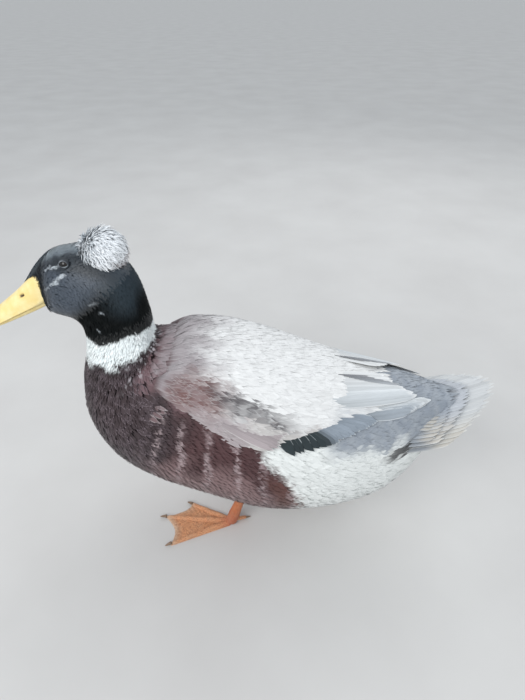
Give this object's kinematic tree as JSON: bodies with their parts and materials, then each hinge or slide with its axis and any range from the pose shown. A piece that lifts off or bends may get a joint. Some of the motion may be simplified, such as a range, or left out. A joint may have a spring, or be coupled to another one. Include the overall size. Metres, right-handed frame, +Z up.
{
  "type": "crested duck",
  "caption": "Life-size crested drake standing in mid stride: pom-pom crest, white collar, folded wings, short fanned tail and webbed feet flat on the floor.",
  "frame": {"origin": "on the floor, at the middle of the bird's outline seen from above", "axes": "+X towards the tail, so the bill points along -X; +Y towards the bird's right side; +Z up"},
  "size_m": [0.497, 0.1806, 0.3539],
  "materials": {
    "body_feathers": "matt dark maroon breast and flank feathers, white rear flank",
    "collar_feathers": "soft white collar feathers under a black neck",
    "head_feathers": "short dense slate feathers with a faint green gloss",
    "crest_feathers": "fluffy pale grey feathers",
    "wing_feathers": "white and mauve-grey feather vanes with fine barbs",
    "tail_feathers": "pale grey feather vanes with cream edges",
    "bill_horn": "pale yellow horn with a soft sheen",
    "foot_skin": "orange scaly skin, dusty at the edges",
    "claw_horn": "dark horn",
    "eye_glass": "wet dark brown"
  },
  "bodies": {
    "root": {"torso": "body_feathers", "neck": "collar_feathers", "head": "head_feathers", "crest": "crest_feathers", "bill_upper": "bill_horn", "bill_lower": "bill_horn", "eye_left": "eye_glass", "eye_right": "eye_glass", "wing_left": "wing_feathers", "wing_right": "wing_feathers", "tail": "tail_feathers", "leg_left": "foot_skin", "leg_right": "foot_skin", "foot_left": "foot_skin", "foot_right": "foot_skin", "foot_left_claw_outer": "claw_horn", "foot_left_claw_middle": "claw_horn", "foot_left_claw_inner": "claw_horn", "foot_left_claw_hallux": "claw_horn", "foot_right_claw_outer": "claw_horn", "foot_right_claw_middle": "claw_horn", "foot_right_claw_inner": "claw_horn", "foot_right_claw_hallux": "claw_horn"}
  },
  "joints": []
}
